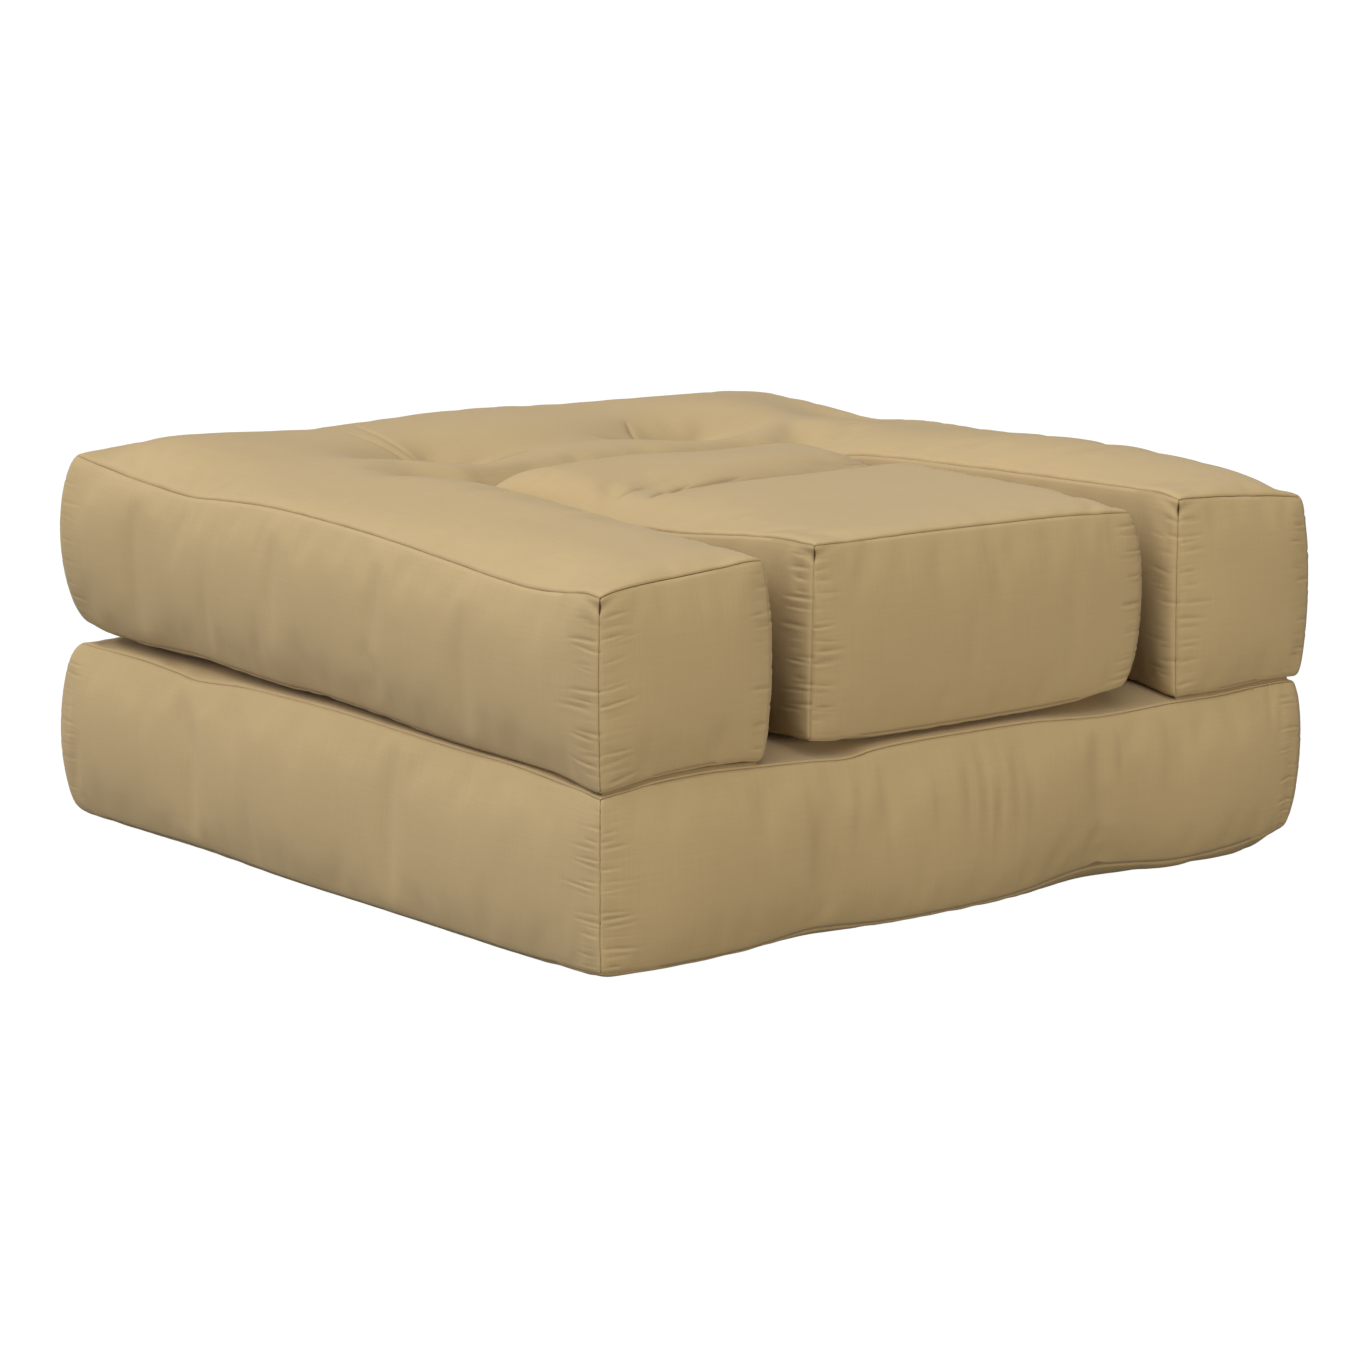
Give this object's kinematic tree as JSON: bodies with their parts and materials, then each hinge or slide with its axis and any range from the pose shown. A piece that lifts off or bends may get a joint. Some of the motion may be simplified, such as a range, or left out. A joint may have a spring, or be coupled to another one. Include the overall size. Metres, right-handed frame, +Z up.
{
  "type": "folding futon mattress",
  "caption": "Square fold-out futon mattress: a lower block and an upper block slit into two arms and a loose flap, tufted and boxed in canvas.",
  "frame": {"origin": "on the floor, under the middle of the footprint", "axes": "+X to the right, +Y to the rear (away from the open end of the slits), +Z up"},
  "size_m": [0.916, 0.9094, 0.3843],
  "materials": {
    "canvas": "matte",
    "cotton_felt": "matte",
    "foam": "matte",
    "tuft_twine": "matte",
    "seam_thread": "matte"
  },
  "bodies": {
    "base": {"base_core": "foam", "base_felt_top": "cotton_felt", "base_felt_bottom": "cotton_felt", "base_top_panel": "canvas", "base_bottom_panel": "canvas", "base_front_border": "canvas", "base_right_border": "canvas", "base_rear_border": "canvas", "base_left_border": "canvas", "base_tuft_twines": "tuft_twine", "left_hinge_seam": "seam_thread", "right_hinge_seam": "seam_thread"},
    "upper": {"back_core": "foam", "back_felt_top": "cotton_felt", "back_felt_bottom": "cotton_felt", "left_arm_core": "foam", "left_arm_felt_top": "cotton_felt", "left_arm_felt_bottom": "cotton_felt", "right_arm_core": "foam", "right_arm_felt_top": "cotton_felt", "right_arm_felt_bottom": "cotton_felt", "upper_top_panel": "canvas", "upper_bottom_panel": "canvas", "upper_left_border": "canvas", "upper_right_border": "canvas", "upper_rear_border": "canvas", "left_arm_front_border": "canvas", "left_arm_inner_border": "canvas", "right_arm_front_border": "canvas", "right_arm_inner_border": "canvas", "back_front_border": "canvas", "upper_tuft_twines": "tuft_twine", "flap_hinge_tape": "canvas"},
    "flap": {"flap_core": "foam", "flap_felt_top": "cotton_felt", "flap_felt_bottom": "cotton_felt", "flap_top_panel": "canvas", "flap_bottom_panel": "canvas", "flap_front_border": "canvas", "flap_right_border": "canvas", "flap_root_border": "canvas", "flap_left_border": "canvas", "flap_tuft_twines": "tuft_twine"}
  },
  "joints": [
    {"name": "unfold", "type": "hinge", "parent": "base", "child": "upper", "pos_m": [0, -0.45415, 0.18615], "axis": [1, 0, 0], "range_deg": [0, 180]},
    {"name": "flap_fold", "type": "hinge", "parent": "upper", "child": "flap", "pos_m": [0.01, 0.09115, 0.38445], "axis": [-1, 0, 0], "range_deg": [0, 180], "deforming": ["flap_hinge_tape"]}
  ]
}
